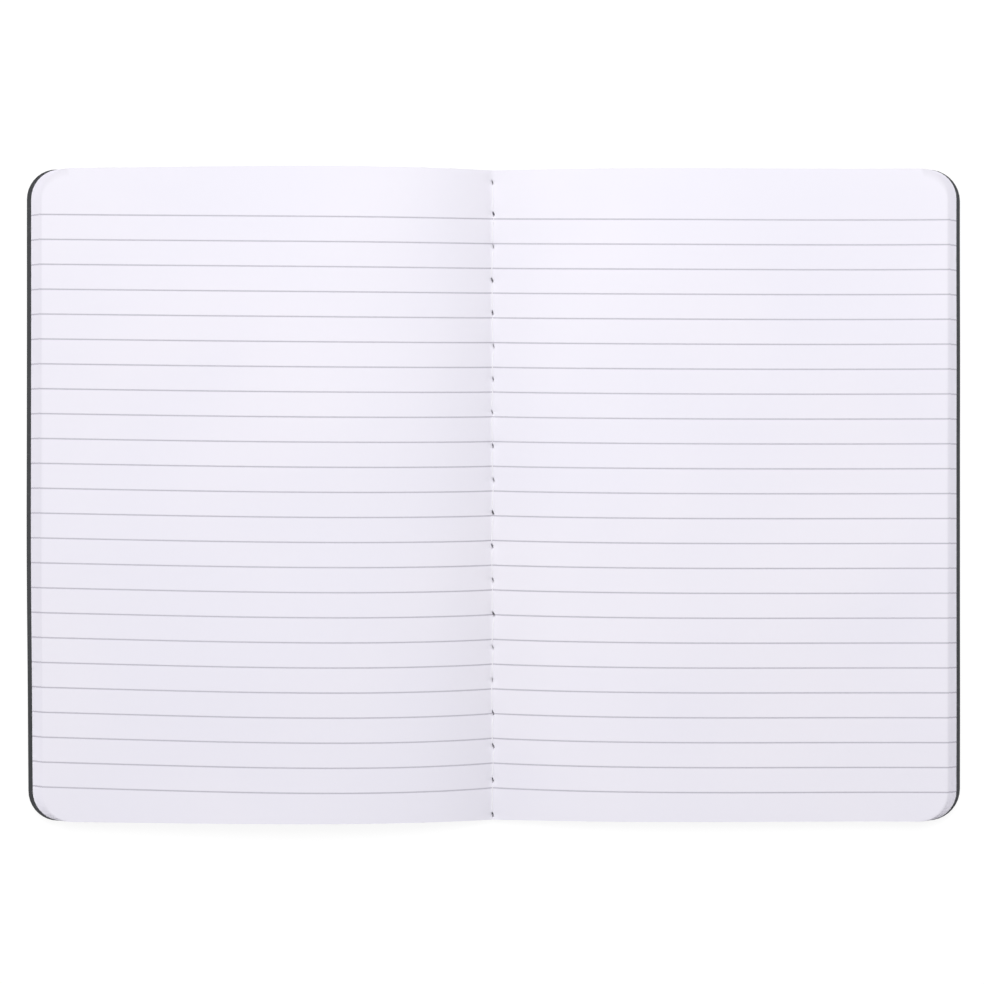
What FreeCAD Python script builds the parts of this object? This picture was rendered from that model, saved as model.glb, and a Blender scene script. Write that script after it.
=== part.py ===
"""Open ruled notebook: one gathering of folded sheets in a soft card cover, machine-sewn through the fold.

The notebook lies open at its centre spread. The origin is on the table under the middle of the fold,
+Y runs along the fold to the head of the page, +X to the right-hand fore-edge and +Z up.
All lengths are in millimetres.
"""
import FreeCAD, Part
import math
import os

import Sketcher

OUT_FOLDER = "parts"
PIECE_NAMES = ("front_cover", "back_cover", "left_pages", "right_pages", "inner_thread", "outer_thread")
THREAD_SIDES = 6

# Driving dimensions
SIZES = (
    ("page_height", 210.0, "head to tail, the same for pages and cover"),
    ("corner_radius", 9.5, "rounded fore-edge corners, cut through the closed book"),
    ("leaf_count", 24, "leaves on each side of the fold"),
    ("leaf_thickness", 0.1, "one leaf pressed flat at the fold"),
    ("inner_leaf_length", 146.4, "fold to fore-edge along the innermost leaf"),
    ("leaf_creep", 0.155, "how much further each sheet reaches than the one inside it"),
    ("card_thickness", 0.4, "cover card"),
    ("cover_overhang", 1.35, "cover past the outermost leaf at the fore-edge"),
    ("crease_lift", 0.6, "how far the cover's fold stands off the table"),
    ("crease_reach", 1.2, "from the fold to where the cover lies flat"),
    ("rest_strip", 3.0, "width of the flat strip on each side that the notebook rests on"),
    ("left_fold_slope", 0.325, "rise over run of the left page where it leaves the fold"),
    ("left_crest_run", 60.0, "from the fold to the top of the left page's arch"),
    ("left_crest_rise", 8.6, "top of the left page's arch above the fold"),
    ("left_edge_rise", 3.6, "left page's fore-edge above the fold"),
    ("left_edge_slope", -0.065, "slope of the left page at its fore-edge"),
    ("right_fold_slope", 0.144, "rise over run of the right page where it leaves the fold"),
    ("right_crest_run", 60.0, "from the fold to the top of the right page's arch"),
    ("right_crest_rise", 4.4, "top of the right page's arch above the fold"),
    ("right_edge_rise", 4.2, "right page's fore-edge above the fold"),
    ("right_edge_slope", 0.052, "slope of the right page at its fore-edge"),
    ("stitch_count", 20, "needle holes along the fold"),
    ("stitch_pitch", 10.77, "from one needle hole to the next"),
    ("head_margin", 3.9, "from the head of the page to the first needle hole"),
    ("slit_length", 2.4, "needle slit, tip to tip along the fold"),
    ("slit_width", 1.0, "needle slit across its middle"),
    ("slit_lean", 0.3, "how far the slit's tips stand to either side of the fold"),
    ("thread_radius", 0.25, "sewing thread"),
    ("thread_tail", 0.9, "thread left past the first and the last hole"),
    ("thread_clearance", 0.05, "between the thread and the fold that it lies in"),
)

doc = FreeCAD.newDocument("open_notebook")
sheet = doc.addObject("Spreadsheet::Sheet", "Sizes")
for row, (alias, value, note) in enumerate(SIZES, start=1):
    sheet.set(f"A{row}", alias)
    sheet.set(f"B{row}", str(value))
    sheet.set(f"C{row}", note)
    sheet.setAlias(f"B{row}", alias)
doc.recompute()


def size(alias):
    """The value of one driving dimension."""
    return float(sheet.get(alias))


LEAVES = int(size("leaf_count"))
STITCHES = int(size("stitch_count"))

# Heights and reaches that several pieces share, as expressions on the driving dimensions
OUTER_LEAF_LENGTH = "(Sizes.inner_leaf_length + Sizes.leaf_creep * (Sizes.leaf_count - 1))"
COVER_LENGTH = f"({OUTER_LEAF_LENGTH} + Sizes.cover_overhang)"
FOLD_TOP = "(Sizes.crease_lift + Sizes.card_thickness + Sizes.leaf_thickness * Sizes.leaf_count)"
LOCK_HEIGHT = "(Sizes.crease_lift + Sizes.card_thickness + Sizes.leaf_thickness * Sizes.leaf_count / 2)"
INNER_RUN = f"({FOLD_TOP} + Sizes.thread_radius + Sizes.thread_clearance)"
OUTER_RUN = "(Sizes.crease_lift - Sizes.thread_radius - Sizes.thread_clearance)"
FIRST_HOLE = "(Sizes.page_height / 2 - Sizes.head_margin)"

fold_top = size("crease_lift") + size("card_thickness") + size("leaf_thickness") * LEAVES
card_spare = size("corner_radius")
pages_thickness = size("leaf_thickness") * LEAVES
cover_length = size("inner_leaf_length") + size("leaf_creep") * (LEAVES - 1) + size("cover_overhang")


def origin_plane(body, role):
    """The body's own origin plane of that role."""
    return next(feature for feature in body.Origin.OriginFeatures if feature.Role == role)


def add_outline(sketch, corners):
    """Closed chain of straight lines through the corners, joined end to end."""
    count = len(corners)
    for index in range(count):
        start = FreeCAD.Vector(*corners[index], 0)
        end = FreeCAD.Vector(*corners[(index + 1) % count], 0)
        sketch.addGeometry(Part.LineSegment(start, end), False)
    for index in range(count):
        sketch.addConstraint(Sketcher.Constraint("Coincident", index, 2, (index + 1) % count, 1))


def place(sketch, corners, across, upward):
    """Ties each corner of an outline to its two expressions, or to an axis where one is 0."""
    for index, (x_value, y_value) in enumerate(corners):
        if across[index] == "0":
            sketch.addConstraint(Sketcher.Constraint("PointOnObject", index, 1, -2))
        else:
            pin(sketch, "DistanceX", f"across{index}", index, 1, x_value, across[index])
        if upward[index] == "0":
            sketch.addConstraint(Sketcher.Constraint("PointOnObject", index, 1, -1))
        else:
            pin(sketch, "DistanceY", f"upward{index}", index, 1, y_value, upward[index])


def needle_slit(sketch, height, height_expression):
    """The slanted slit that the needle leaves, its middle on the fold at that height."""
    lean = size("slit_lean")
    half_length = size("slit_length") / 2
    half_width = size("slit_width") / 2
    corners = ((-lean, height + half_length), (-half_width, height),
               (lean, height - half_length), (half_width, height))
    add_outline(sketch, corners)
    across = ("-Sizes.slit_lean", "-Sizes.slit_width / 2", "Sizes.slit_lean", "Sizes.slit_width / 2")
    upward = (f"{height_expression} + Sizes.slit_length / 2", height_expression,
              f"{height_expression} - Sizes.slit_length / 2", height_expression)
    place(sketch, corners, across, upward)


def pin(sketch, kind, name, geometry, point, value, expression):
    """Distance of a sketch point from the origin along one axis, bound to the driving dimensions."""
    index = sketch.addConstraint(Sketcher.Constraint(kind, -1, 1, geometry, point, value))
    sketch.renameConstraint(index, name)
    sketch.setExpression(f"Constraints.{name}", expression)


# Arches

def arch(name, level):
    """Line of one side's sheets from the fold over the crest to the fore-edge, for the top page or the cover.

    The top page leaves the fold at once. The cover's inner face starts with the crease and a flat strip
    that the notebook rests on, and then follows the pages with their thickness below them.
    """
    crest_run = size(f"{name}_crest_run")
    crest_top = fold_top + size(f"{name}_crest_rise")
    edge_run = size("inner_leaf_length")
    edge_top = fold_top + size(f"{name}_edge_rise")
    start_run = 0.0
    start_top = fold_top
    start_slope = size(f"{name}_fold_slope")
    if level == "cover":
        crest_top -= pages_thickness
        edge_top -= pages_thickness
        start_run = size("crease_reach") + size("rest_strip")
        start_top = size("card_thickness")
    rising = (crest_run - start_run) / 3
    falling = (edge_run - crest_run) / 3
    edge_slope = size(f"{name}_edge_slope")
    return (
        ((start_run, start_top), (start_run + rising, start_top + rising * start_slope),
         (crest_run - rising, crest_top), (crest_run, crest_top)),
        ((crest_run, crest_top), (crest_run + falling, crest_top),
         (edge_run - falling, edge_top - falling * edge_slope), (edge_run, edge_top)),
    )


def arch_edges(name, side, level, drop):
    """The arch as edges, with a straight end past the fore-edge; drop lowers all of it."""
    edges = []
    for poles in arch(name, level):
        curve = Part.BezierCurve()
        curve.setPoles([FreeCAD.Vector(side * run, 0, top - drop) for run, top in poles])
        edges.append(curve.toShape())
    edge_run, edge_top = arch(name, level)[-1][-1]
    spare = cover_length + card_spare - edge_run
    end_top = edge_top + size(f"{name}_edge_slope") * spare
    start = FreeCAD.Vector(side * edge_run, 0, edge_top - drop)
    end = FreeCAD.Vector(side * (edge_run + spare), 0, end_top - drop)
    edges.append(Part.LineSegment(start, end).toShape())
    return edges


def crease_points(side, drop):
    """The cover's inner face by the fold: down from the sewn crease to the strip that it rests on."""
    card = size("card_thickness")
    reach = size("crease_reach")
    points = ((0.0, size("crease_lift") + card), (reach, card), (reach + size("rest_strip"), card))
    return [FreeCAD.Vector(side * run, 0, top - drop) for run, top in points]


def joined(points):
    """Straight edges through the points."""
    return [Part.LineSegment(start, end).toShape() for start, end in zip(points, points[1:])]


def end_point(edges):
    """The outer end of a run of edges."""
    return edges[-1].Vertexes[-1].Point


def band(name, upper, lower):
    """Extrudes the space between two runs of edges from tail to head."""
    closing = joined([end_point(upper), end_point(lower)]) + joined([upper[0].Vertexes[0].Point,
                                                                     lower[0].Vertexes[0].Point])
    outline = Part.Face(Part.Wire(Part.__sortEdges__(upper + lower + closing)))
    half_height = size("page_height") / 2
    outline.translate(FreeCAD.Vector(0, -half_height, 0))
    solid = doc.addObject("Part::Feature", name)
    solid.Shape = outline.extrude(FreeCAD.Vector(0, 2 * half_height, 0))
    return solid


def sheet_outline(name, length, length_expression):
    """Outline of a sheet's half: square at the fold, rounded at its two fore-edge corners."""
    sketch = doc.addObject("Sketcher::SketchObject", name)
    half = size("page_height") / 2
    radius = size("corner_radius")
    upward = FreeCAD.Vector(0, 0, 1)
    lines = (
        ((0, half), (0, -half)),
        ((0, -half), (length - radius, -half)),
        ((length, radius - half), (length, half - radius)),
        ((length - radius, half), (0, half)),
    )
    for start, end in lines:
        sketch.addGeometry(Part.LineSegment(FreeCAD.Vector(*start, 0), FreeCAD.Vector(*end, 0)), False)
    tail_circle = Part.Circle(FreeCAD.Vector(length - radius, radius - half, 0), upward, radius)
    sketch.addGeometry(Part.ArcOfCircle(tail_circle, -math.pi / 2, 0), False)
    head_circle = Part.Circle(FreeCAD.Vector(length - radius, half - radius, 0), upward, radius)
    sketch.addGeometry(Part.ArcOfCircle(head_circle, 0, math.pi / 2), False)
    sketch.addConstraint(Sketcher.Constraint("Coincident", 0, 2, 1, 1))
    sketch.addConstraint(Sketcher.Constraint("Coincident", 3, 2, 0, 1))
    for first, second in ((1, 4), (4, 2), (2, 5), (5, 3)):
        sketch.addConstraint(Sketcher.Constraint("Tangent", first, 2, second, 1))
    sketch.addConstraint(Sketcher.Constraint("PointOnObject", 0, 1, -2))
    sketch.addConstraint(Sketcher.Constraint("Vertical", 0))
    sketch.addConstraint(Sketcher.Constraint("Horizontal", 1))
    sketch.addConstraint(Sketcher.Constraint("Vertical", 2))
    sketch.addConstraint(Sketcher.Constraint("Horizontal", 3))
    sketch.addConstraint(Sketcher.Constraint("Equal", 4, 5))
    pin(sketch, "DistanceY", "head", 0, 1, half, "Sizes.page_height / 2")
    pin(sketch, "DistanceY", "tail", 0, 2, -half, "-Sizes.page_height / 2")
    pin(sketch, "DistanceX", "reach", 2, 1, length, length_expression)
    corner = sketch.addConstraint(Sketcher.Constraint("Radius", 4, radius))
    sketch.renameConstraint(corner, "corner")
    sketch.setExpression("Constraints.corner", "Sizes.corner_radius")
    return sketch


def arch_shortening(name):
    """How much nearer the fold a fore-edge comes because its sheet arches up."""
    edges = arch_edges(name, 1, "page", 0.0)[:-1]
    return sum(edge.Length for edge in edges) - size("inner_leaf_length")


# Cover

def cover_half(label, name, side, outline, holes):
    """Half of the card cover: creased at the fold, arched under the pages, with rounded corners."""
    card = size("card_thickness")
    inner_face = joined(crease_points(side, 0.0)) + arch_edges(name, side, "cover", 0.0)
    outer_face = joined(crease_points(side, card)) + arch_edges(name, side, "cover", card)
    arched_card = band(f"{label}_arched_card", inner_face, outer_face)
    plan = doc.addObject("Part::Extrusion", f"{label}_plan")
    plan.Base = outline
    plan.DirMode = "Custom"
    plan.Dir = FreeCAD.Vector(0, 0, 1)
    plan.Solid = True
    plan.setExpression("LengthFwd", f"{FOLD_TOP} + Sizes.{name}_crest_rise")
    turn = FreeCAD.Rotation(FreeCAD.Vector(0, 0, 1), 0 if side > 0 else 180)
    plan.Placement = FreeCAD.Placement(FreeCAD.Vector(-side * arch_shortening(name), 0, 0), turn)
    trimmed = doc.addObject("Part::MultiCommon", f"{label}_trimmed")
    trimmed.Shapes = [arched_card, plan]
    cover = doc.addObject("Part::Cut", label)
    cover.Base = trimmed
    cover.Tool = holes
    cover.Refine = True
    cover.Label = label
    return cover


# Pages

def fanned_leaves(name, side, outline):
    """The stair of fore-edges: each leaf up from the cover is shorter than the one below it.

    The leaves lie side by side on the slope that the stack has at its fore-edge. The first one also
    fills what is below it and the last one what is above, for the stack's arch to be cut from them.
    """
    slope = size(f"{name}_edge_slope")
    tilt = math.atan(slope)
    upright = FreeCAD.Rotation(FreeCAD.Vector(0, 0, 1), 0 if side > 0 else 180)
    sloped = upright.multiply(FreeCAD.Rotation(FreeCAD.Vector(0, 1, 0), -math.degrees(tilt)))
    outer_length = size("inner_leaf_length") + size("leaf_creep") * (LEAVES - 1)
    outer_reach = outer_length - arch_shortening(name)
    edge_run, cover_edge_top = arch(name, "cover")[-1][-1]
    spare_height = fold_top + size(f"{name}_crest_rise") + abs(slope) * cover_length
    leaves = []
    for rank in range(LEAVES):
        reach = outer_reach - rank * size("leaf_creep")
        bottom = cover_edge_top + rank * size("leaf_thickness") + slope * (reach - edge_run)
        depth = size("leaf_thickness")
        if rank == 0:
            bottom -= spare_height
            depth += spare_height
        if rank == LEAVES - 1:
            depth += spare_height
        leaf = doc.addObject("Part::Extrusion", f"{name}_leaf_{rank + 1:02d}")
        leaf.Base = outline
        leaf.DirMode = "Custom"
        leaf.Dir = FreeCAD.Vector(math.sin(tilt), 0, math.cos(tilt))
        leaf.Solid = True
        leaf.LengthFwd = depth
        across = reach - outer_length * math.cos(tilt)
        upward = bottom - outer_length * math.sin(tilt)
        leaf.Placement = FreeCAD.Placement(FreeCAD.Vector(side * across, 0, upward), sloped)
        leaves.append(leaf)
    stair = doc.addObject("Part::MultiFuse", f"{name}_stair")
    stair.Shapes = leaves
    return stair


def page_half(name, side, outline, holes):
    """The leaves on one side of the fold, as one solid with its stair of fore-edges and its holes."""
    top_face = arch_edges(name, side, "page", 0.0)
    cover_face = joined(crease_points(side, 0.0)) + arch_edges(name, side, "cover", 0.0)
    block = doc.addObject("Part::MultiCommon", f"{name}_block")
    block.Shapes = [fanned_leaves(name, side, outline), band(f"{name}_arch", top_face, cover_face)]
    pages = doc.addObject("Part::Cut", f"{name}_pages")
    pages.Base = block
    pages.Tool = holes
    pages.Refine = True
    pages.Label = f"{name}_pages"
    return pages


def needle_holes():
    """One slit for each stitch, straight through the whole fold."""
    slit = doc.addObject("Sketcher::SketchObject", "needle_slit")
    needle_slit(slit, size("page_height") / 2 - size("head_margin"), FIRST_HOLE)
    holes = []
    for number in range(STITCHES):
        hole = doc.addObject("Part::Extrusion", f"needle_hole_{number + 1:02d}")
        hole.Base = slit
        hole.DirMode = "Custom"
        hole.Dir = FreeCAD.Vector(0, 0, 1)
        hole.Solid = True
        hole.setExpression("LengthFwd", f"{FOLD_TOP} * 2")
        hole.setExpression("Placement.Base.y", f"-{number} * Sizes.stitch_pitch")
        holes.append(hole)
    row_of_holes = doc.addObject("Part::MultiFuse", "needle_holes")
    row_of_holes.Shapes = holes
    return row_of_holes


holes = needle_holes()
cover_outline = sheet_outline("cover_outline", cover_length, COVER_LENGTH)
leaf_outline = sheet_outline("leaf_outline", size("inner_leaf_length") + size("leaf_creep") * (LEAVES - 1),
                             OUTER_LEAF_LENGTH)
front_cover = cover_half("front_cover", "left", -1, cover_outline, holes)
back_cover = cover_half("back_cover", "right", 1, cover_outline, holes)
left_pages = page_half("left", -1, leaf_outline, holes)
right_pages = page_half("right", 1, leaf_outline, holes)


# Sewing

def thread(label, run_height, leg_length, leg_base):
    """One thread of the lockstitch: a run along the fold and a leg into each hole, up to the lock."""
    run = doc.addObject("Part::Prism", f"{label}_run")
    run.Polygon = THREAD_SIDES
    run.Placement.Rotation = FreeCAD.Rotation(FreeCAD.Vector(1, 0, 0), 90)
    run.setExpression("Circumradius", "Sizes.thread_radius")
    run.setExpression("Height", "Sizes.stitch_pitch * (Sizes.stitch_count - 1) + 2 * Sizes.thread_tail")
    run.setExpression("Placement.Base.y", f"{FIRST_HOLE} + Sizes.thread_tail")
    run.setExpression("Placement.Base.z", run_height)
    pieces = [run]
    for number in range(STITCHES):
        leg = doc.addObject("Part::Prism", f"{label}_leg_{number + 1:02d}")
        leg.Polygon = THREAD_SIDES
        leg.setExpression("Circumradius", "Sizes.thread_radius")
        leg.setExpression("Height", leg_length)
        leg.setExpression("Placement.Base.y", f"{FIRST_HOLE} - {number} * Sizes.stitch_pitch")
        leg.setExpression("Placement.Base.z", leg_base)
        pieces.append(leg)
    sewn = doc.addObject("Part::MultiFuse", label)
    sewn.Shapes = pieces
    sewn.Label = label
    return sewn


inner_thread = thread("inner_thread", INNER_RUN, f"{INNER_RUN} - {LOCK_HEIGHT}", LOCK_HEIGHT)
outer_thread = thread("outer_thread", OUTER_RUN, f"{LOCK_HEIGHT} - {OUTER_RUN}", OUTER_RUN)

doc.recompute()

# Every object has to be sound before anything is written
for item in doc.Objects:
    if "Invalid" in item.State or "Error" in item.State:
        raise RuntimeError(f"{item.Name} did not build: {item.State}")
pieces = [front_cover, back_cover, left_pages, right_pages, inner_thread, outer_thread]
if [piece.Label for piece in pieces] != list(PIECE_NAMES):
    raise RuntimeError("a piece has another label than its file")
for piece in pieces:
    shape = piece.Shape
    if shape.isNull() or not shape.isValid() or len(shape.Solids) != 1:
        raise RuntimeError(f"{piece.Label} is not one sound solid")

os.makedirs(OUT_FOLDER, exist_ok=True)
for piece in pieces:
    piece.Shape.exportStep(os.path.join(OUT_FOLDER, f"{piece.Label}.step"))
    print(f"{piece.Label}: {piece.Shape.Volume:.1f} mm3")
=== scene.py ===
import math
import random

import bpy
import numpy as np
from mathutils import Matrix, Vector


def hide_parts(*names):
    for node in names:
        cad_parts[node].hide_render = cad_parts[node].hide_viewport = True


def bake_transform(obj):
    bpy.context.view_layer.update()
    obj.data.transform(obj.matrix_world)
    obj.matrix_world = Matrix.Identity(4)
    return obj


MM = 0.001
TURN = 2 * math.pi
LEFT, RIGHT = -1, 1

# Sizes of the notebook in millimetres, as in the part's source
HALF_HEIGHT = 105.0
CORNER_RADIUS = 9.5
LEAVES = 24
LEAF_PITCH = 0.1
INNER_LEAF_LENGTH = 146.4
LEAF_CREEP = 0.155
CARD_THICKNESS = 0.4
COVER_OVERHANG = 1.35
CREASE_LIFT = 0.6
CREASE_REACH = 1.2
REST_REACH = CREASE_REACH + 3.0
PAGES_THICKNESS = LEAF_PITCH * LEAVES
FOLD_TOP = CREASE_LIFT + CARD_THICKNESS + PAGES_THICKNESS
OUTER_LEAF_LENGTH = INNER_LEAF_LENGTH + LEAF_CREEP * (LEAVES - 1)
COVER_LENGTH = OUTER_LEAF_LENGTH + COVER_OVERHANG
ARCHES = {
    LEFT: {"fold_slope": 0.325, "crest_run": 60.0, "crest_rise": 8.6, "edge_rise": 3.6, "edge_slope": -0.065},
    RIGHT: {"fold_slope": 0.144, "crest_run": 60.0, "crest_rise": 4.4, "edge_rise": 4.2, "edge_slope": 0.052},
}

# Sizes in millimetres that the part's source keeps simpler
COVER_CORNERS = {LEFT: 9.5, RIGHT: 10.3}
PAPER_THICKNESS = 0.08
THREAD_RADIUS = 0.17
# The stitches as they fall in this copy; their pitch is 10.77 on average
STITCHES = [101.2, 90.9, 80.5, 69.5, 58.9, 48.2, 37.5, 26.8, 15.9, 4.9,
            -5.8, -16.5, -27.5, -38.5, -49.2, -59.8, -70.5, -81.2, -92.2, -103.4]
SLIT_HALF_LENGTH = 1.05
SLIT_HALF_WIDTH = 0.38
SLIT_LEAN = 0.3
SLIT_MIDDLE = 0.2

# Ruling: distance from the middle of the page to the first line, and from line to line
FIRST_LINE = 89.33
LINE_PITCH = 8.0
LINE_COUNT = 24
LINE_SKEW = 0.006
LINE_SAG = {LEFT: 0.8, RIGHT: 0.5}

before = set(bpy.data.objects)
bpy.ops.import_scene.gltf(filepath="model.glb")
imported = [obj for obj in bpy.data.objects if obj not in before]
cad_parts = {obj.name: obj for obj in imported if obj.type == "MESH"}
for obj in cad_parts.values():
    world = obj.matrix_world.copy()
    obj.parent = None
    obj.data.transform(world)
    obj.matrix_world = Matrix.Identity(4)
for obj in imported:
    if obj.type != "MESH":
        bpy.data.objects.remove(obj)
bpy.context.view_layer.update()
chance = random.Random(24)


# Arched halves

def bow(run, start, end, heights):
    """Height on a curve between two runs, from its four pole heights."""
    t = np.clip((run - start) / (end - start), 0.0, 1.0)
    first, second, third, last = heights
    return ((1 - t) ** 3 * first + 3 * (1 - t) ** 2 * t * second
            + 3 * (1 - t) * t ** 2 * third + t ** 3 * last)


def arched(run, side, start, start_height, lowered):
    """Height over the table at that distance from the fold, on a sheet so far below the top page."""
    arch = ARCHES[side]
    crest = FOLD_TOP + arch["crest_rise"] - lowered
    edge = FOLD_TOP + arch["edge_rise"] - lowered
    slope = arch["edge_slope"]
    rising = (arch["crest_run"] - start) / 3
    falling = (INNER_LEAF_LENGTH - arch["crest_run"]) / 3
    near = bow(run, start, arch["crest_run"],
               (start_height, start_height + rising * arch["fold_slope"], crest, crest))
    far = bow(run, arch["crest_run"], INNER_LEAF_LENGTH, (crest, crest, edge - falling * slope, edge))
    past = edge + slope * (run - INNER_LEAF_LENGTH)
    return np.where(run < arch["crest_run"], near, np.where(run < INNER_LEAF_LENGTH, far, past))


def page_height(run, side):
    """Height of the top page."""
    return arched(run, side, 0.0, FOLD_TOP, 0.0)


def cover_height(run, side):
    """Height of the cover's inner face, with the crease over the sewing and the strip it rests on."""
    crease = np.interp(run, (0.0, CREASE_REACH), (CREASE_LIFT + CARD_THICKNESS, CARD_THICKNESS))
    arch = arched(run, side, REST_REACH, CARD_THICKNESS, PAGES_THICKNESS)
    return np.where(run < REST_REACH, crease, arch)


def arch_shortening(side):
    """How much nearer the fold a fore-edge comes because its sheet arches up."""
    run = np.linspace(0.0, INNER_LEAF_LENGTH, 600)
    height = page_height(run, side)
    return float(np.hypot(np.diff(run), np.diff(height)).sum()) - INNER_LEAF_LENGTH


SHORTENING = {side: arch_shortening(side) for side in ARCHES}


# Unevenness of the paper

# Slow waves: height, length down the page and across it, and where in the wave they start
WAVES = ((0.10, 96, 210, 0.13), (0.055, 61, -133, 0.58), (0.035, 143, 52, 0.31))
FLAT_REACH, WAVY_REACH = 6.0, 34.0
# What each stitch draws in: how deep, and how far to each side of the fold
PUCKERS = ((0.28, 1.4), (0.05, 4.0))
PUCKER_LENGTH = 1.5
# How the fold wanders: how far to the side, over what length, and where in the swing it starts
WANDERS = ((0.16, 43, 0.2), (0.10, 14.9, 0.0))
# The left-hand fore-edge: how far it stands out, and how much it runs in at the foot and at the head
EDGE_OUT = 0.10
IN_AT_FOOT = 0.6
IN_AT_HEAD = 0.12


def eased(value, low, high):
    """0 below low, 1 above high, and smooth between."""
    t = np.clip((value - low) / (high - low), 0.0, 1.0)
    return t * t * (3 - 2 * t)


def by_side(x, values):
    """The value of the side on which each x lies."""
    return np.where(x < 0, values[LEFT], values[RIGHT])


def wave(x, y):
    """Slow waves of the paper away from the fold."""
    swell = sum(height * np.sin(TURN * (y / down + x / across + start))
                for height, down, across, start in WAVES)
    return swell * eased(np.abs(x), FLAT_REACH, WAVY_REACH)


def pucker(x, y):
    """Each stitch draws the paper in: the height it takes from the fold, so never above 0."""
    lift = 0.0
    for stitch in STITCHES:
        along = np.exp(-((y - stitch) / PUCKER_LENGTH) ** 2)
        for depth, reach in PUCKERS:
            lift = lift - depth * along * np.exp(-(x / reach) ** 2)
    return lift


def fold_wander(y):
    """The fold isn't quite straight between its stitches."""
    return sum(distance * np.sin(TURN * (y / length + start)) for distance, length, start in WANDERS)


def drawn_in(side, y):
    """The left-hand fore-edge isn't quite square: it runs in a little towards the foot."""
    foot = max(0.0, -y / HALF_HEIGHT) ** 1.5
    head = max(0.0, y / HALF_HEIGHT)
    return EDGE_OUT - IN_AT_FOOT * foot - IN_AT_HEAD * head if side == LEFT else 0.0


# Needle slits

# Each slit leans and opens a little differently, and the shade painted in its hole is more or less dark
LEANS = [SLIT_LEAN * chance.uniform(0.6, 1.35) for _ in STITCHES]
OPENINGS = [SLIT_HALF_WIDTH * chance.uniform(0.35, 1.0) for _ in STITCHES]
DARKNESS = [chance.uniform(0.12, 0.5) for _ in STITCHES]
# The share of its opening that a slit keeps in the cover, and how blunt its two points are
OPEN_BELOW = 0.4
SLIT_POINT = 0.6


def slit_at(y, level):
    """Middle and half width of the needle slit on the fold at that height, or None; it narrows downward."""
    for stitch, lean, width in zip(STITCHES, LEANS, OPENINGS):
        along = (y - stitch) / SLIT_HALF_LENGTH
        if abs(along) < 0.99:
            middle = SLIT_MIDDLE + fold_wander(y) - lean * along
            opened = OPEN_BELOW + (1 - OPEN_BELOW) * level
            return middle, width * opened * (1 - abs(along)) ** SLIT_POINT
    return None


def hole_darkness(y):
    """How dark the painted shade in the nearest stitch's hole is."""
    return DARKNESS[min(range(len(STITCHES)), key=lambda number: abs(STITCHES[number] - y))]


# Points of a sheet

# Distances from the fold; the columns near it have a point in every row
NEAR_RUNS = (0.0, 0.9, 1.4, 2.0, 2.7)
FAR_RUNS = (3.5, 4.2, 5.4, 7.0, 9.5, 12.5, 16.0, *range(20, 71, 5), *range(76, 131, 6), 134.5)
STRAIGHT_RUNS = NEAR_RUNS + FAR_RUNS
CORNER_TURNS = [math.radians(angle) for angle in range(0, 91, 10)]
COLUMNS = len(STRAIGHT_RUNS) + len(CORNER_TURNS)
ROWS_AT_STITCH = (SLIT_HALF_LENGTH, 0.5, 0.0, -0.5, -SLIT_HALF_LENGTH)


def column_place(column, reach, radius):
    """Distance from the fold of a column of points, and half the sheet's height there."""
    if column < len(STRAIGHT_RUNS):
        return STRAIGHT_RUNS[column], HALF_HEIGHT
    turn = CORNER_TURNS[column - len(STRAIGHT_RUNS)]
    run = reach - radius + radius * math.sin(turn)
    return run, HALF_HEIGHT - radius + radius * math.cos(turn)


def stitch_rows():
    """Heights on the page at which a sheet has points, and which of them every column has."""
    rows = [(HALF_HEIGHT, True)]
    for number, stitch in enumerate(STITCHES):
        for offset in ROWS_AT_STITCH:
            rows.append((stitch + offset, offset == 0.0))
        if number < len(STITCHES) - 1:
            rows.append(((stitch + STITCHES[number + 1]) / 2, False))
    rows.append((-HALF_HEIGHT, True))
    return rows


ROWS = stitch_rows()


def sheet_grid(reaches, level, full_rows, radii):
    """Flat points and faces of one folded sheet, with its round corners and its needle slits."""
    index = {}
    points = []

    def point(column, side, row):
        y = ROWS[row][0]
        opening = slit_at(y, level) if column == 0 else None
        key = (column, side if column or opening else 0, row)
        if key not in index:
            run, half_height = column_place(column, reaches[side], radii[side])
            run = run * (1 + drawn_in(side, y) / reaches[side])
            x = side * run + fold_wander(y) * max(0.0, 1 - run / NEAR_RUNS[-1])
            if opening:
                x = opening[0] + side * opening[1]
            index[key] = len(points)
            points.append((x, y * half_height / HALF_HEIGHT))
        return index[key]

    every_row = list(range(len(ROWS)))
    main_rows = [row for row in every_row if ROWS[row][1]]
    faces = []
    for side in (LEFT, RIGHT):
        for column in range(COLUMNS - 1):
            inner_rows = every_row if full_rows or column < len(NEAR_RUNS) else main_rows
            outer_rows = every_row if full_rows or column + 1 < len(NEAR_RUNS) else main_rows
            for top, bottom in zip(outer_rows, outer_rows[1:]):
                between = [row for row in inner_rows if top <= row <= bottom]
                corners = [point(column, side, row) for row in between]
                corners += [point(column + 1, side, bottom), point(column + 1, side, top)]
                faces.append(corners if side == RIGHT else corners[::-1])
    return np.array(points), faces


def stack_height(points, level):
    """Height of a level of the stack, from 0 on the cover's inner face to 1 on the top page."""
    x, y = points[:, 0], points[:, 1]
    run = np.abs(x)
    top = by_side(x, {side: page_height(run, side) for side in ARCHES})
    under = by_side(x, {side: cover_height(run, side) for side in ARCHES})
    return under + level * (top - under) + wave(x, y) + pucker(x, y) * level


# Meshes

def new_piece(name, mesh):
    """An object of that mesh in the scene."""
    piece = bpy.data.objects.new(name, mesh)
    bpy.context.scene.collection.objects.link(piece)
    return piece


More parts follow.
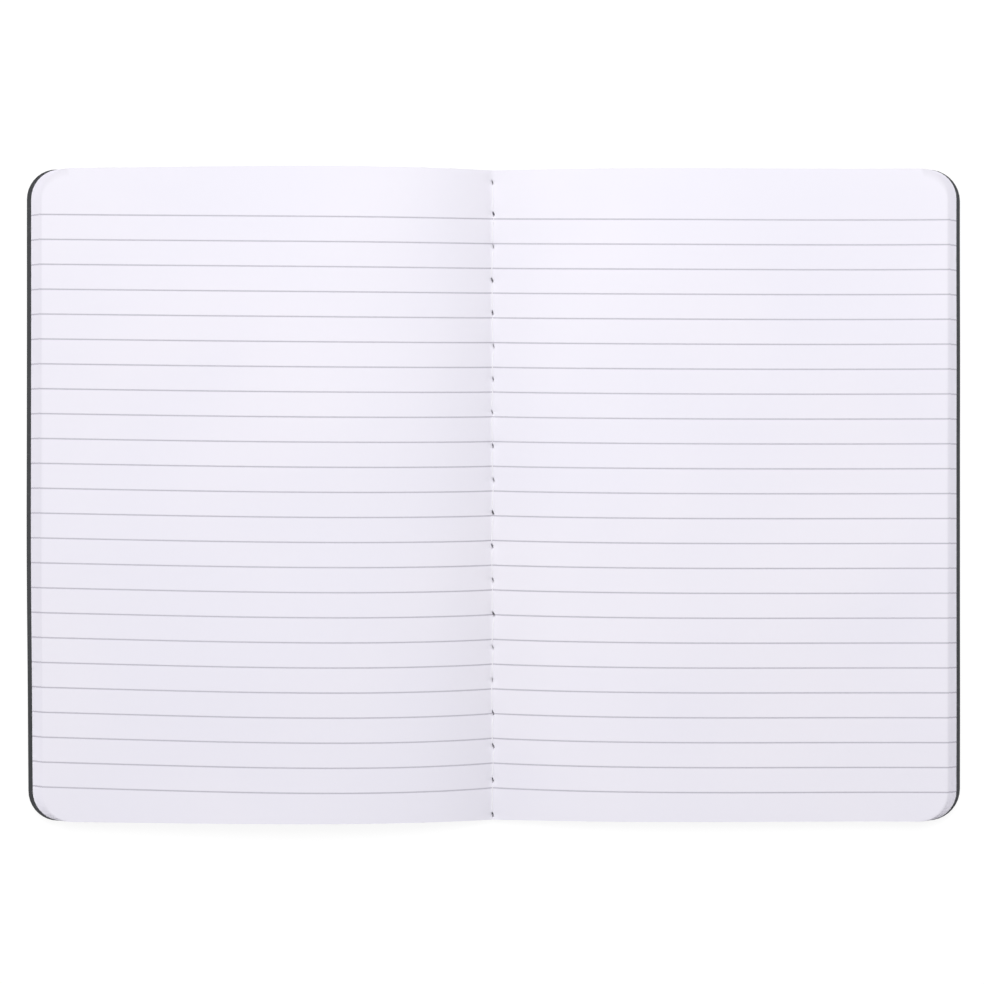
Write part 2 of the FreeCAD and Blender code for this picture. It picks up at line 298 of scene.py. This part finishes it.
def smooth_mesh(name, vertices, polygons, measures):
    """A smooth mesh whose points carry those measures."""
    mesh = bpy.data.meshes.new(name)
    mesh.from_pydata(vertices, [], polygons)
    mesh.shade_smooth()
    for measure, values in measures.items():
        mesh.attributes.new(measure, "FLOAT", "POINT").data.foreach_set("value", values)
    return mesh


def line_drift(x):
    """How far the lines lie below the first one's height at the fold: they fall to the right and sag."""
    across = min(abs(x) / INNER_LEAF_LENGTH, 1.0)
    return LINE_SKEW * x + LINE_SAG[LEFT if x < 0 else RIGHT] * math.sin(math.pi * across ** 0.72)


def solid_sheet(name, grids):
    """A mesh of closed sheets. Each grid gives its points, faces, upper and lower heights, slip and painted
    shade.
    """
    vertices, polygons, ruling, painted_shade, sharp = [], [], [], [], set()
    for points, faces, upper, lower, slip, sheet_shade in grids:
        base = len(vertices)
        count = len(points)
        for heights in (upper, lower):
            vertices.extend((x * MM, y * MM, z * MM) for (x, y), z in zip(points, heights))
            ruling.extend(y + line_drift(x) + slip for x, y in points)
            painted_shade.extend(sheet_shade)
        for face in faces:
            polygons.append([base + corner for corner in face])
            polygons.append([base + count + corner for corner in reversed(face)])
        edges = dict.fromkeys(edge for face in faces for edge in zip(face, face[1:] + face[:1]))
        for start, end in edges:
            if (end, start) not in edges:
                rim = (base + end, base + start, base + count + start, base + count + end)
                polygons.append(list(rim))
                sharp.update((tuple(sorted(rim[:2])), tuple(sorted(rim[2:]))))
    mesh = smooth_mesh(name, vertices, polygons, {"ruling": ruling, "painted_shade": painted_shade})
    keys = np.empty(len(mesh.edges) * 2, dtype=np.int32)
    mesh.edges.foreach_get("vertices", keys)
    marks = [tuple(sorted(pair)) in sharp for pair in keys.reshape(-1, 2).tolist()]
    mesh.attributes.new("sharp_edge", "BOOLEAN", "EDGE").data.foreach_set("value", marks)
    return new_piece(name, mesh)


# Paper and card

# How far a leaf may be off in its cut and in its print, and how much shorter the left-hand ones are
CUT_SPREAD = 0.05
PRINT_SPREAD = 0.12
LEFT_PAPER_IN = 0.12
# The right-hand leaves fan out less: how far the inner one stands out, and how much the cover loses
RIGHT_INNER_OUT = 0.4
RIGHT_FAN_LOSS = 0.73
# Painted shade on the paper: along the stepped leaf edges of the fore-edges, in the fold, and in the slits of
# the top sheet
EDGE_SHADE = {LEFT: 0.10, RIGHT: 0.12}
EDGE_SHADE_FULL, EDGE_SHADE_TO = 0.1, 0.7
FOLD_SHADE = 0.03
FOLD_SHADE_FULL, FOLD_SHADE_TO = 2.0, 24.0
SLIT_WALL = 0.75
TOP_SLIT_SHADE = 0.35


def sheet_reaches(length):
    """Where a sheet of that length from the fold ends on each side; the right-hand leaves fan out less."""
    outward = (length - INNER_LEAF_LENGTH) / (COVER_LENGTH - INNER_LEAF_LENGTH)
    return {LEFT: length - SHORTENING[LEFT],
            RIGHT: length - SHORTENING[RIGHT] + RIGHT_INNER_OUT - RIGHT_FAN_LOSS * outward}


def sheet_painted_shade(points, reaches, in_slit):
    """Painted shade on the paper: dark in the needle's slits, and faint in the fold and along the stepped
    leaf edges of the fore-edges.
    """
    x, y = points[:, 0], points[:, 1]
    across = np.abs(x) - by_side(x, reaches) + CORNER_RADIUS
    up = np.maximum(np.abs(y) - HALF_HEIGHT + CORNER_RADIUS, 0.0)
    from_edge = CORNER_RADIUS - np.hypot(np.maximum(across, 0.0), up)
    # Painted shade between the stepped leaf edges along both fore-edges
    shade_at_edge = by_side(x, EDGE_SHADE) * (1 - eased(from_edge, EDGE_SHADE_FULL, EDGE_SHADE_TO)) * (across > 0)
    # Painted shade in the fold, fading out away from it
    near_fold = FOLD_SHADE * (1 - eased(np.abs(x), FOLD_SHADE_FULL, FOLD_SHADE_TO))
    # Painted shade on the slit walls: full on the sheets below, lighter round the top sheet's slits
    beside_slit = [in_slit * hole_darkness(y)
                   if abs(x - fold_wander(y)) < SLIT_WALL and slit_at(y, 1.0) else 0.0
                   for x, y in points]
    return np.minimum(shade_at_edge + near_fold + np.array(beside_slit), 1.0)


def paper_sheet(rank):
    """One sheet of the gathering, counted up from the cover."""
    on_top = rank == LEAVES - 1
    length = INNER_LEAF_LENGTH + LEAF_CREEP * (LEAVES - 1 - rank)
    reaches = {side: reach + chance.uniform(-CUT_SPREAD, CUT_SPREAD)
               for side, reach in sheet_reaches(length).items()}
    reaches[LEFT] -= LEFT_PAPER_IN
    level = (rank + 1) / LEAVES
    points, faces = sheet_grid(reaches, level, on_top, dict.fromkeys(ARCHES, CORNER_RADIUS))
    upper = stack_height(points, level)
    painted_shade = sheet_painted_shade(points, reaches, TOP_SLIT_SHADE if on_top else 1.0)
    return points, faces, upper, upper - PAPER_THICKNESS, chance.uniform(-PRINT_SPREAD, PRINT_SPREAD), painted_shade


def cover_card():
    """The card cover: one folded sheet with the needle's slits along its crease."""
    points, faces = sheet_grid(sheet_reaches(COVER_LENGTH), 0.0, False, COVER_CORNERS)
    upper = stack_height(points, 0.0)
    return points, faces, upper, upper - CARD_THICKNESS, 0.0, np.zeros(len(points))


# Sewing

# Along the thread: its ends past the last stitches, its steps, and how far from a stitch it is drawn aside
LOOSE_END = 0.9
LONG_STEP = 0.25
SHORT_STEP = LONG_STEP * 0.35
SHORT_STEP_REACH = 1.6
ASIDE_REACH = 2.2
# Round the thread: its points, one turn of the two strands, and its radius as shares, at a cut end too
THREAD_SIDES = 12
TWIST_LENGTH = 1.5
WAIST, BULGE = 0.66, 0.34
CUT_END, CUT_END_GAIN = 0.55, 0.15
# How deep in a hole the painted shade on the thread begins, and how deep it is darkest
DARK_FROM, DARK_TO = 0.35, 1.0
# Where the two threads turn in a hole, over what length they dip, and how deep the inner one lies in the fold
LOCK_HEIGHT = CREASE_LIFT + CARD_THICKNESS + PAGES_THICKNESS / 2
INNER_LOCK, INNER_DIP = LOCK_HEIGHT - 0.95, 1.12
OUTER_LOCK, OUTER_DIP = LOCK_HEIGHT - 1.25, 0.75
INNER_SINK = THREAD_RADIUS * 0.45


def inner_run(y):
    """Height of the inner thread as it lies in the fold."""
    return FOLD_TOP - INNER_SINK + float(pucker(0.0, y))


def outer_run(y):
    """Height of the outer thread as it lies in the cover's crease."""
    return CREASE_LIFT - THREAD_RADIUS


def thread_path(run_height, lock_height, dip):
    """The way of one thread: along the fold from hole to hole, and into each as far as the lock."""
    path = []
    y = STITCHES[0] + LOOSE_END
    while y > STITCHES[-1] - LOOSE_END:
        nearest = min(STITCHES, key=lambda stitch: abs(stitch - y))
        along = y - nearest
        sink = math.exp(-(along / dip) ** 4)
        z = run_height(y) * (1 - sink) + lock_height * sink
        lean = LEANS[STITCHES.index(nearest)] * max(-1.0, min(1.0, along / SLIT_HALF_LENGTH))
        x = fold_wander(y) + (SLIT_MIDDLE - lean) * math.exp(-(along / ASIDE_REACH) ** 2)
        path.append(Vector((x, y, z)))
        y -= LONG_STEP if abs(along) > SHORT_STEP_REACH else SHORT_STEP
    return path


def twisted_thread(name, path, into):
    """A thread of two strands twisted together along its path, with painted shade where it runs into a hole.
    """
    outside = path[0].z
    vertices, polygons, painted_shade = [], [], []
    travelled = 0.0
    for number, centre in enumerate(path):
        before = path[max(number - 1, 0)]
        after = path[min(number + 1, len(path) - 1)]
        along = (after - before).normalized()
        across = along.cross(Vector((1, 0, 0))).normalized()
        sideways = across.cross(along)
        if number:
            travelled += (centre - path[number - 1]).length
        twist = TURN * travelled / TWIST_LENGTH
        from_end = min(number, len(path) - 1 - number)
        taper = min(1.0, CUT_END + CUT_END_GAIN * from_end)
        # Painted shade: the deeper the thread runs into a hole, the darker it is
        darkness = hole_darkness(centre.y) * float(eased(into * (centre.z - outside), DARK_FROM, DARK_TO))
        for corner in range(THREAD_SIDES):
            angle = TURN * corner / THREAD_SIDES
            radius = THREAD_RADIUS * taper * (WAIST + BULGE * abs(math.cos(angle - twist)))
            spot = centre + across * (math.cos(angle) * radius) + sideways * (math.sin(angle) * radius)
            vertices.append(spot * MM)
            painted_shade.append(darkness)
    for start in range(0, (len(path) - 1) * THREAD_SIDES, THREAD_SIDES):
        for corner in range(THREAD_SIDES):
            following = (corner + 1) % THREAD_SIDES
            polygons.append((start + corner, start + following,
                             start + THREAD_SIDES + following, start + THREAD_SIDES + corner))
    polygons.append(list(range(THREAD_SIDES))[::-1])
    polygons.append(list(range(len(vertices) - THREAD_SIDES, len(vertices))))
    return new_piece(name, smooth_mesh(name, vertices, polygons, {"painted_shade": painted_shade}))


# Finishes

PAPER_WHITE = (0.862, 0.846, 0.93, 1)
PAPER_PALER = (0.882, 0.862, 0.938, 1)
PAPER_FIBRE = (0.70, 0.69, 0.76, 1)
RULING_GREY = (0.36, 0.34, 0.41, 1)
# Near-black used for the painted shade in the slits, in the fold and along the fore-edges
PAINTED_SHADE_COLOUR = (0.09, 0.085, 0.10, 1)
CHARCOAL = (0.031, 0.033, 0.036, 1)
CHARCOAL_RUBBED = (0.046, 0.048, 0.052, 1)
CARD_FIBRE = (0.105, 0.11, 0.115, 1)
THREAD_SHADE = (0.88, 0.87, 0.92, 1)
THREAD_WHITE = (0.95, 0.94, 0.97, 1)
WHITE = (1, 1, 1, 1)


class Value:
    """A value that varies over a surface. Operators on numbers add the Math node they stand for."""

    def __init__(self, finish, socket):
        self.finish = finish
        self.socket = socket

    def math(self, operation, *others):
        sockets = dict(enumerate((self,) + others))
        return self.finish.node("ShaderNodeMath", {"operation": operation}, sockets)

    def reflected(self, operation, other):
        return self.finish.node("ShaderNodeMath", {"operation": operation}, {0: other, 1: self})

    def __add__(self, other):
        return self.math("ADD", other)

    def __radd__(self, other):
        return self.reflected("ADD", other)

    def __sub__(self, other):
        return self.math("SUBTRACT", other)

    def __rsub__(self, other):
        return self.reflected("SUBTRACT", other)

    def __mul__(self, other):
        return self.math("MULTIPLY", other)

    def __rmul__(self, other):
        return self.reflected("MULTIPLY", other)

    def __truediv__(self, other):
        return self.math("DIVIDE", other)

    def between(self, low, high):
        """0 at low, 1 at high and smooth between; low may be the larger."""
        sockets = {"Value": self, "From Min": low, "From Max": high}
        return self.finish.node("ShaderNodeMapRange", {"interpolation_type": "SMOOTHSTEP"}, sockets)


class Finish:
    """One material and the nodes that make it."""

    def __init__(self, name):
        self.material = bpy.data.materials.new(name)
        self.material.use_nodes = True
        self.tree = self.material.node_tree
        self.tree.nodes.clear()

    @classmethod
    def on(cls, tree):
        """The same for the nodes of something that isn't a material."""
        finish = cls.__new__(cls)
        finish.tree = tree
        tree.nodes.clear()
        return finish

    def node(self, kind, settings=None, sockets=None, output=0):
        """Adds a node: its settings first, then the value or the link of each socket."""
        node = self.tree.nodes.new(kind)
        for key, value in (settings or {}).items():
            setattr(node, key, value)
        for key, value in (sockets or {}).items():
            if isinstance(value, Value):
                self.tree.links.new(value.socket, node.inputs[key])
            else:
                node.inputs[key].default_value = value
        return Value(self, node.outputs[output]) if node.outputs else None

    def place(self):
        """Where a point lies on the notebook, in metres."""
        return self.node("ShaderNodeTexCoord", output="Object")

    def measured(self, name):
        """A number that the mesh carries for each of its points."""
        return self.node("ShaderNodeAttribute", {"attribute_name": name}, output="Fac")

    def speckle(self, place, scale, detail=3.0, roughness=0.55):
        """Noise from 0 to 1."""
        sockets = {"Vector": place, "Scale": scale, "Detail": detail, "Roughness": roughness}
        return self.node("ShaderNodeTexNoise", None, sockets)

    def stretched(self, place, x, y, z):
        """The place scaled along each axis."""
        return self.node("ShaderNodeVectorMath", {"operation": "MULTIPLY"}, {0: place, 1: (x, y, z)})

    def blended(self, amount, first, second):
        """A colour between two colours."""
        settings = {"data_type": "RGBA", "clamp_factor": True}
        return self.node("ShaderNodeMix", settings, {0: amount, 6: first, 7: second}, output=2)

    def relief(self, height, distance, strength, onto=None):
        """Bumps of that depth in metres."""
        sockets = {"Height": height, "Distance": distance, "Strength": strength}
        if onto:
            sockets["Normal"] = onto
        return self.node("ShaderNodeBump", None, sockets)

    def matt(self, grey):
        """A matt shader of that grey."""
        return self.node("ShaderNodeBsdfDiffuse", None, {"Color": (grey, grey, grey, 1)})

    def glowing(self, strength):
        """A shader that gives off white light."""
        return self.node("ShaderNodeEmission", None, {"Color": WHITE, "Strength": strength})

    def mixed(self, amount, first, second):
        """A shader between two shaders."""
        return self.node("ShaderNodeMixShader", None, {0: amount, 1: first, 2: second})

    def finished(self, shader):
        """Ends the material with that shader."""
        self.node("ShaderNodeOutputMaterial", None, {"Surface": shader})
        return self.material

    def surfaced(self, sockets):
        """Ends the material with a surface of these values."""
        return self.finished(self.node("ShaderNodeBsdfPrincipled", None, sockets))


def ruled_paper():
    """White writing paper with grey feint lines that run over both pages."""
    finish = Finish("ruled_paper")
    place = finish.place()
    cloud = finish.speckle(place, 14.0, 2.0)
    fibre = finish.speckle(finish.stretched(place, 1.0, 0.7, 1.0), 2600.0, 4.0, 0.6)
    fleck = finish.speckle(place, 900.0, 2.0)
    line = (FIRST_LINE - finish.measured("ruling")) / LINE_PITCH
    off_line = (line - line.math("ROUND")).math("ABSOLUTE") * LINE_PITCH
    printed = line.between(-0.5, -0.4) * line.between(LINE_COUNT - 0.5, LINE_COUNT - 0.6)
    half_width = 0.22 + 0.05 * (fleck - 0.5)
    ink = (half_width - off_line).between(-0.07, 0.07) * printed
    strength = 0.60 + 0.16 * cloud + 0.25 * (fibre - 0.5)
    sheet = finish.blended(cloud.between(0.35, 0.7), PAPER_WHITE, PAPER_PALER)
    sheet = finish.blended((fibre - 0.5).math("ABSOLUTE") * 0.10, sheet, PAPER_FIBRE)
    # Painted shade: darkens the paper in the needle slits, in the fold and along the stepped fore-edges
    sheet = finish.blended(finish.measured("painted_shade"), sheet, PAINTED_SHADE_COLOUR)
    colour = finish.blended(ink * strength, sheet, RULING_GREY)
    surface = finish.relief(fibre, 0.000012, 0.6)
    surface = finish.relief(finish.speckle(place, 420.0), 0.00002, 0.5, surface)
    return finish.surfaced({"Base Color": colour, "Roughness": 0.48 + 0.12 * fleck, "Normal": surface,
                            "Specular IOR Level": 0.5})


def charcoal_card():
    """Uncoated charcoal card, with pale fibres and a soft rub."""
    finish = Finish("charcoal_card")
    place = finish.place()
    cloud = finish.speckle(place, 22.0)
    grain = finish.speckle(finish.stretched(place, 1.0, 0.35, 1.0), 1500.0, 4.0, 0.6)
    fibre = finish.speckle(finish.stretched(place, 0.5, 1.0, 1.0), 700.0, 5.0, 0.65)
    colour = finish.blended(cloud.between(0.3, 0.75), CHARCOAL, CHARCOAL_RUBBED)
    colour = finish.blended(fibre.between(0.56, 0.74) * 0.35, colour, CARD_FIBRE)
    surface = finish.relief(grain, 0.00004, 0.7)
    surface = finish.relief(fibre, 0.00003, 0.6, surface)
    return finish.surfaced({"Base Color": colour, "Roughness": 0.62 + 0.2 * cloud, "Normal": surface,
                            "Specular IOR Level": 0.35})


def white_thread():
    """Spun white sewing thread with stray fibres."""
    finish = Finish("white_thread")
    place = finish.place()
    strand = finish.speckle(finish.stretched(place, 1.0, 0.25, 1.0), 5200.0, 4.0, 0.6)
    colour = finish.blended(strand, THREAD_SHADE, THREAD_WHITE)
    # Painted shade: the thread darkens where it runs down into a hole
    colour = finish.blended(finish.measured("painted_shade"), colour, PAINTED_SHADE_COLOUR)
    return finish.surfaced({"Base Color": colour, "Roughness": 0.7 + 0.2 * strand,
                            "Normal": finish.relief(strand, 0.00003, 0.5), "Sheen Weight": 0.2})


def seen_directly(finish):
    """1 for what the camera sees, also in a reflection, and 0 for light on its way to a surface."""
    rays = [finish.node("ShaderNodeLightPath", output=name)
            for name in ("Is Camera Ray", "Is Glossy Ray", "Is Transmission Ray")]
    return rays[0].math("MAXIMUM", rays[1]).math("MAXIMUM", rays[2])


def white_floor():
    """White floor that keeps the notebook's soft shadow, and turns to plain white further out."""
    finish = Finish("white_floor")
    seen = seen_directly(finish)
    bright = finish.node("ShaderNodeAddShader", None, {0: finish.matt(0.18), 1: finish.glowing(0.88)})
    far = finish.node("ShaderNodeVectorMath", {"operation": "LENGTH"}, {0: finish.place()}, output="Value")
    backdrop = finish.mixed(far.between(0.35, 0.8), bright, finish.glowing(1.0))
    return finish.finished(finish.mixed(seen, finish.matt(0.8), backdrop))


# The notebook

LOWER_SHEETS = 12
PAGES = ("left_pages", "right_pages")

paper, card, thread = ruled_paper(), charcoal_card(), white_thread()
lower_sheets = solid_sheet("outer_sheets", [paper_sheet(rank) for rank in range(LOWER_SHEETS)])
upper_sheets = solid_sheet("inner_sheets", [paper_sheet(rank) for rank in range(LOWER_SHEETS, LEAVES - 1)])
centre_sheet = solid_sheet("centre_sheet", [paper_sheet(LEAVES - 1)])
cover = solid_sheet("cover", [cover_card()])
inner_thread = twisted_thread("inner_sewing", thread_path(inner_run, INNER_LOCK, INNER_DIP), -1)
outer_thread = twisted_thread("outer_sewing", thread_path(outer_run, OUTER_LOCK, OUTER_DIP), 1)

for piece, finish, slot, nodes in (
    (lower_sheets, paper, "page_paper", PAGES),
    (upper_sheets, paper, "page_paper", PAGES),
    (centre_sheet, paper, "page_paper", PAGES),
    (cover, card, "cover_card", ("front_cover", "back_cover")),
    (inner_thread, thread, "sewing_thread", ("inner_thread",)),
    (outer_thread, thread, "sewing_thread", ("outer_thread",)),
):
    piece.data.materials.append(finish)
    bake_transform(piece)
    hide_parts(*nodes)


# Floor, light and camera

FLOOR_REACH = 20
LAMP_COLOUR = (1.0, 0.995, 1.0)
PIXELS_PER_MM = 3.092
PHOTO_WIDTH = 984
SENSOR_WIDTH = 36.0
CAMERA_HEIGHT = 600.0
CAMERA_X, CAMERA_Y = -0.10, 0.97


def floor():
    """A wide flat floor under the notebook."""
    corners = [(FLOOR_REACH * x, FLOOR_REACH * y, 0) for x, y in ((-1, -1), (1, -1), (1, 1), (-1, 1))]
    mesh = bpy.data.meshes.new("floor")
    mesh.from_pydata(corners, [], [(0, 1, 2, 3)])
    mesh.materials.append(white_floor())
    plane = new_piece("floor", mesh)


def lamp(name, place, width, power):
    """A square soft lamp that points at the notebook."""
    light = bpy.data.lights.new(name, "AREA")
    light.shape = "SQUARE"
    light.size = width
    light.energy = power
    light.color = LAMP_COLOUR
    holder = bpy.data.objects.new(name, light)
    holder.location = place
    holder.rotation_euler = (-Vector(place)).to_track_quat("-Z", "Y").to_euler()
    bpy.context.scene.collection.objects.link(holder)


def daylight(strength, backdrop):
    """Even white light from all round, and the brightness of the backdrop as it is seen."""
    world = bpy.data.worlds.new("studio")
    world.use_nodes = True
    finish = Finish.on(world.node_tree)
    brightness = strength + (backdrop - strength) * seen_directly(finish)
    light = finish.node("ShaderNodeBackground", None, {"Color": WHITE, "Strength": brightness})
    finish.node("ShaderNodeOutputWorld", None, {"Surface": light})
    bpy.context.scene.world = world


floor()
daylight(0.32, 1.0)
lamp("window", (-3.6, 0.6, 3.6), 2.2, 45.0)
lamp("head_lamp", (0.03, 0.55, 1.15), 0.55, 10.0)

camera_data = bpy.data.cameras.new("camera")
camera_data.sensor_width = SENSOR_WIDTH
camera_data.lens = PIXELS_PER_MM * CAMERA_HEIGHT * SENSOR_WIDTH / PHOTO_WIDTH
camera_data.clip_start = 0.01
camera = bpy.data.objects.new("camera", camera_data)
camera.location = (CAMERA_X * MM, CAMERA_Y * MM, (FOLD_TOP + CAMERA_HEIGHT) * MM)
bpy.context.scene.collection.objects.link(camera)
bpy.context.scene.camera = camera
bpy.context.scene.view_settings.view_transform = "Standard"
